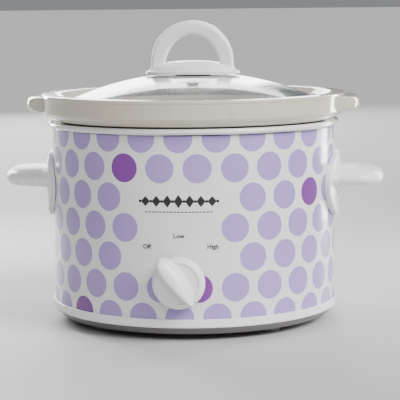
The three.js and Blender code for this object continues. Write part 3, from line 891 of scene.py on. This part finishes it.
def crock_profile(lug):
    floor = bottom("stoneware_crock")
    rim = (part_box("stoneware_crock")[1].y - AXIS.y) / MM
    out = (LUG_R - rim) * lug
    corners = [
        (0, floor + 2, 0),
        (57, floor + 2, 1),
        (59.5, floor, 1.4),
        (68, floor, 4),
        (86.2, 62, 13),
        (98, 150.5, 2),
        (101, 153.9, 1.5),
        (109.5, 153.9, 3.5),
        (114.2, 157.4, 3),
        (115.2 + 0.1 * lug, 159.6, 2.2),
        (115.3 + out, 159.6 + 0.4 * lug, 5.2),
        (115.9 + out, 170.6, 4.6),
        (116.2, 170.7, 1.2),
        (rim, RIM_TOP, 3.2),
        (105, RIM_TOP, 3),
        (100.4, 168.8, 2),
        (99, 162.2, 1.2),
        (94.6, 162.2, 1),
        (92.4, 157, 5),
        (79.6, floor + 10, 14),
        (0, floor + 9, 0),
    ]
    return rounded(corners, 5, closed=False)


def stoneware_crock():
    rings = []
    segments = 288
    for i in range(segments):
        angle = 2 * math.pi * i / segments
        c, s = math.sin(angle), -math.cos(angle)
        lug = lug_share(math.atan2(c, -s))
        rings.append([(r * c, r * s, z) for r, z in crock_profile(lug)])
    mesh = mesh_of("crock", rings, cyclic=True)
    piece("crock", mesh, GLAZED, "crock", ["stoneware_crock"])


# ---- lid -------------------------------------------------------------------------------------
LID_R = reach("glass_lid")
LID_SEAT = bottom("glass_lid")
LID_CROWN = top("glass_lid")
HANDLE_FOOT = bottom("lid_handle")
HANDLE_TOP = top("lid_handle")
GLASS_THICK = 4


DOME_R, DOME_TOP = 235, 188.2  # the sphere that the glass is part of, and the height of its top


def glass_top(r):
    """Height of the glass's upper face: a spherical dome with a flat seat for the handle."""
    dome = DOME_TOP - DOME_R + math.sqrt(DOME_R**2 - r**2)
    return LID_CROWN - math.log1p(math.exp(2 * (LID_CROWN - dome))) / 2 + 0.02


def glass_lid():
    steps = 26
    radii = [3.8 + (LID_R - 1.6 - 3.8) * i / steps for i in range(steps + 1)]
    upper = [(r, glass_top(r)) for r in radii]
    lower = [(r, glass_top(r) - GLASS_THICK) for r in reversed(radii[:-1])]
    edge = glass_top(LID_R)
    rim = rounded(
        [
            (LID_R - 1.2, edge, 0.5),
            (LID_R, edge - 0.6, 1),
            (LID_R, LID_SEAT, 1.4),
            (LID_R - 4, LID_SEAT, 1.4),
        ],
        5,
    )
    mesh = turned("lid_glass", upper + rim + lower, 224)
    piece("lid_glass", mesh, GLASS, "lid", ["glass_lid"])


ARCH_DEPTH = 13
SPRINGING = 197  # height where the arch starts
ARCH_HALF = 31.35  # half its width at the springing
HOLE_HALF, HOLE_LOW, HOLE_TOP = 21.7, 189.9, 216.8
FOOT_HALF_X, FOOT_HALF_Y = 36.4, 19
FOOT_CROWN = 10.1  # height of the saddle over the foot's underside


def arch_outside(a):
    """A point of the arch's outer line, at an angle from its right foot."""
    return (ARCH_HALF * math.cos(a), SPRINGING + (HANDLE_TOP - SPRINGING) * math.sin(a))


def arch_inside(a):
    return (HOLE_HALF * math.cos(a), HOLE_LOW + (HOLE_TOP - HOLE_LOW) * math.sin(a))


def handle_arch():
    """The loop of the handle: a flat-faced band with rounded edges, flaring into its foot."""
    lines = [((32.6, HANDLE_FOOT + 0.8), (21.2, HANDLE_FOOT + 0.6))]
    lines.append(((32.1, HANDLE_FOOT + 3), (21.5, HANDLE_FOOT + 1.4)))
    lines.append(((31.6, HANDLE_FOOT + 6.5), (HOLE_HALF, HANDLE_FOOT + 2.2)))
    steps = 56
    lines += [(arch_outside(a), arch_inside(a)) for a in (math.pi * i / steps for i in range(steps + 1))]
    lines += [((-x1, z1), (-x2, z2)) for (x1, z1), (x2, z2) in lines[2::-1]]
    rings = []
    for outside, inside in lines:
        a, b = Vector(outside), Vector(inside)
        width = (a - b).length
        flare = 1.6 * smoothstep(HANDLE_FOOT + 9, HANDLE_FOOT + 1, a.y)
        half = ARCH_DEPTH / 2 + flare
        across = (a - b).normalized()
        section = rounded(
            [(0, -half, 2.6), (width, -half, 3.4), (width, half, 3.4), (0, half, 2.6)], 6
        )
        rings.append([(b.x + across.x * u, v, b.y + across.y * u) for u, v in section])
    return mesh_of("handle_arch", rings, capped=True)


def handle_foot():
    """The oval foot: a thin lip, then a crowned saddle that the arch grows from."""
    profile = rounded(
        [
            (0, HANDLE_FOOT + 0.9, 0),
            (0.45, HANDLE_FOOT + 0.9, 0.01),
            (0.47, HANDLE_FOOT, 0.01),
            (1, HANDLE_FOOT, 0.02),
            (1, HANDLE_FOOT + 1.7, 0.02),
            (0.955, HANDLE_FOOT + 2.2, 0.02),
            (0.925, HANDLE_FOOT + 2.6, 0.02),
        ],
        4,
        closed=False,
    )
    crown = HANDLE_FOOT + FOOT_CROWN
    for i in range(1, 25):
        share = 0.925 * (1 - i / 24)
        rise = (1 - (share / 0.94) ** 2.3) ** 0.62
        profile.append((share, HANDLE_FOOT + 2.6 + (crown - HANDLE_FOOT - 2.6) * rise))
    rings = []
    for share, z in profile:
        oval = superellipse(FOOT_HALF_X * share, FOOT_HALF_Y * share, 2.1, 128)
        rings.append([(x, y, z) for x, y in oval])
    return mesh_of("handle_foot", rings)


def lid_handle():
    mesh = joined("lid_grip", [handle_arch(), handle_foot()])
    piece("lid_grip", mesh, PLASTIC, "lid", ["lid_handle"])


def lid_fixings():
    """The pad and washer seen through the glass under the handle."""
    for node, material, slot in (
        ("lid_gasket", SILICONE, "grey_silicone"),
        ("lid_washer", PLATED, "plated_steel"),
    ):
        low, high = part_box(node)
        hole = 3.4
        edge = (high.x - low.x) / 2 / MM
        z0, z1 = low.z / MM, high.z / MM
        profile = rounded([(hole, z0, 0.2), (edge - 0.6, z0, 0.4), (edge, z1, 0.3), (hole, z1, 0.2)], 3)
        mesh = turned(node + "_disc", profile, 96)
        piece(node + "_disc", mesh, material, "lid", [node])


# ---- what stays from the CAD -------------------------------------------------------------------
def dress_cad_nodes():
    """Gives every CAD node its slot's finish, and smooth shading over its round faces."""
    for part in frame["record"]["subparts"]:
        node = frame["nodes"][part["node"]]
        shade(node.data, 32)
        for slot in node.material_slots:
            slot.material = SLOT_LOOKS[part["material_slot"]]


# ---- stage -----------------------------------------------------------------------------------
FLOOR_REACH = 60000  # mm


def floor():
    edges = (-FLOOR_REACH, -2000, 2000, FLOOR_REACH)
    rings = [[(x, y, 0) for x in edges] for y in edges]
    mesh = mesh_of("floor", rings, closed_rings=False)
    look = Look("floor", (0.52, 0.515, 0.505), 0.6)
    look.blotches(1.5, (0.5, 0.495, 0.485))
    look.bump(look.noise(300, 3), 0.05, 0.15)
    mesh.materials.append(look.material)
    made = bpy.data.objects.new("floor", mesh)
    bpy.context.scene.collection.objects.link(made)


def light(name, kind, azimuth, distance, height, power, aim=0.1):
    """A light round the cooker: azimuth 0 is in front of it and 90 on its right."""
    data = bpy.data.lights.new(name, kind)
    data.energy = power
    made = bpy.data.objects.new(name, data)
    bpy.context.scene.collection.objects.link(made)
    a = math.radians(azimuth)
    made.location = AXIS + Vector((distance * math.sin(a), -distance * math.cos(a), height))
    towards = AXIS + Vector((0, 0, aim)) - made.location
    made.rotation_euler = towards.to_track_quat("-Z", "Y").to_euler()
    made.visible_camera = False
    return data


def softbox(name, azimuth, distance, height, size, power, aim=0.1):
    data = light(name, "AREA", azimuth, distance, height, power, aim)
    data.shape = "RECTANGLE"
    data.size, data.size_y = size


def lights():
    world = bpy.data.worlds.new("studio")
    bpy.context.scene.world = world
    world.use_nodes = True
    background = world.node_tree.nodes["Background"]
    background.inputs["Color"].default_value = (0.93, 0.95, 1, 1)
    background.inputs["Strength"].default_value = 0.27
    key = light("key", "SUN", 60, 2, 1.66, 5.0)
    key.angle = math.radians(34)
    softbox("front", 4, 1.7, 1.2, (1.2, 0.7), 12)
    softbox("back", -163, 2.2, 0.75, (1.5, 0.9), 33)
    softbox("right_card", 128, 0.55, 0.26, (0.11, 0.5), 3.0, aim=0.26)
    softbox("left_card", -131, 0.6, 0.32, (0.1, 0.4), 4.2, aim=0.18)


CAMERA_DISTANCE = 1.230  # metres from the axis
CAMERA_HEIGHT = 0.241
CAMERA_AZIMUTH = 5.93  # degrees, as are the next three
CAMERA_YAW = 0.212
CAMERA_PITCH = 7.035
CAMERA_ROLL = -0.58


def camera():
    data = bpy.data.cameras.new("camera")
    data.lens = 144
    data.sensor_width = 36
    made = bpy.data.objects.new("camera", data)
    bpy.context.scene.collection.objects.link(made)
    a = math.radians(CAMERA_AZIMUTH)
    back = Vector((math.sin(a), -math.cos(a), 0)) * CAMERA_DISTANCE
    heading = Matrix.Rotation(math.radians(CAMERA_AZIMUTH - CAMERA_YAW), 4, "Z")
    tilt = Matrix.Rotation(math.radians(90 - CAMERA_PITCH), 4, "X")
    roll = Matrix.Rotation(math.radians(CAMERA_ROLL), 4, "Z")
    place = Matrix.Translation(AXIS + back + Vector((0, 0, CAMERA_HEIGHT)))
    made.matrix_world = place @ heading @ tilt @ roll
    bpy.context.scene.camera = made


camera()
dress_cad_nodes()
outer_shell()
shell_seam()
rim_ring()
inner_liner()
base_band()
base_pan()
feet()
side_handles()
control_knob()
ornament()
words()
cord_gland()
stoneware_crock()
glass_lid()
lid_handle()
lid_fixings()
floor()
lights()
